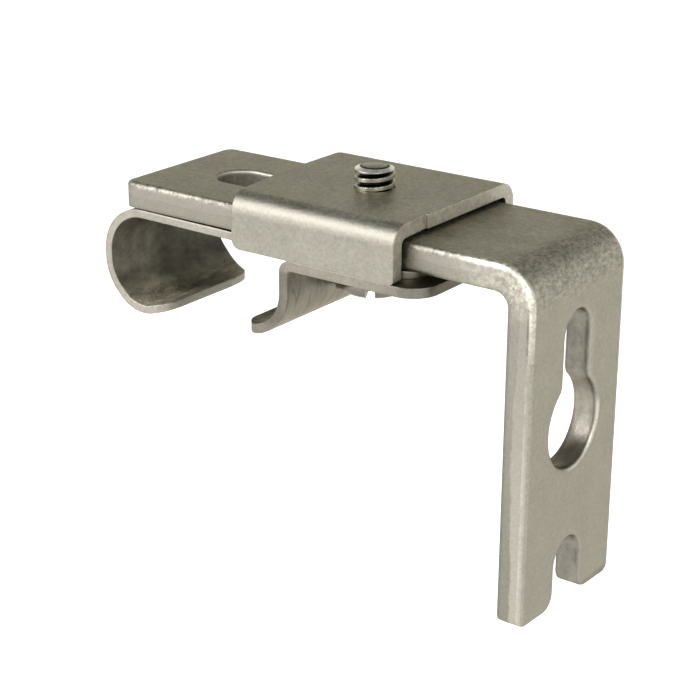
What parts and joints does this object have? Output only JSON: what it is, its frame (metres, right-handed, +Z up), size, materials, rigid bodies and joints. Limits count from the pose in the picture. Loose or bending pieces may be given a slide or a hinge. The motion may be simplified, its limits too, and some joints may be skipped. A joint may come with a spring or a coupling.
{
  "type": "rail wall bracket",
  "caption": "Wall bracket of flat bar bent to an L, keyhole and open notch in the leg, sliding screw clamp on the arm that grips a rail between a sprung hook and a swivelling latch.",
  "frame": {"origin": "where the shank of the upper wall screw rests: centre of the keyhole's narrow end, on the wall plane", "axes": "+Z up, +X into the wall (the arm reaches out along -X), Y along the wall"},
  "size_m": [0.063, 0.0252, 0.049],
  "materials": {
    "plated_bar": "satin nickel plate over sheared and punched bar",
    "plated_sheet": "satin nickel plate over formed sheet",
    "plated_spring": "satin nickel plate with a brown tint, over spring strip",
    "plated_screw": "nickel plate"
  },
  "bodies": {
    "bracket": {"wall_bracket": "plated_bar"},
    "saddle": {"clamp_saddle": "plated_sheet"},
    "clamp_stack": {"front_hook": "plated_spring", "lock_washer": "plated_screw"},
    "latch": {"rear_latch": "plated_sheet"},
    "screw": {"clamp_screw": "plated_screw"}
  },
  "joints": [
    {"name": "carriage_slide", "type": "slide", "parent": "bracket", "child": "saddle", "axis": [1, 0, 0], "range_m": [-0.021, 0.0054]},
    {"name": "screw_feed", "type": "slide", "parent": "saddle", "child": "clamp_stack", "axis": [0, 0, 1], "range_m": [-0.00265, 0]},
    {"name": "latch_swivel", "type": "hinge", "parent": "clamp_stack", "child": "latch", "pos_m": [-0.0284, 0, 0.005], "axis": [0, 0, 1], "continuous": true},
    {"name": "screw_turn", "type": "hinge", "parent": "clamp_stack", "child": "screw", "pos_m": [-0.0284, 0, 0.0031], "axis": [0, 0, 1], "range_deg": [-901, 0]}
  ],
  "couplings": [
    {"joint": "screw_turn", "follows": "screw_feed", "rad_per_m": 5936.9}
  ]
}
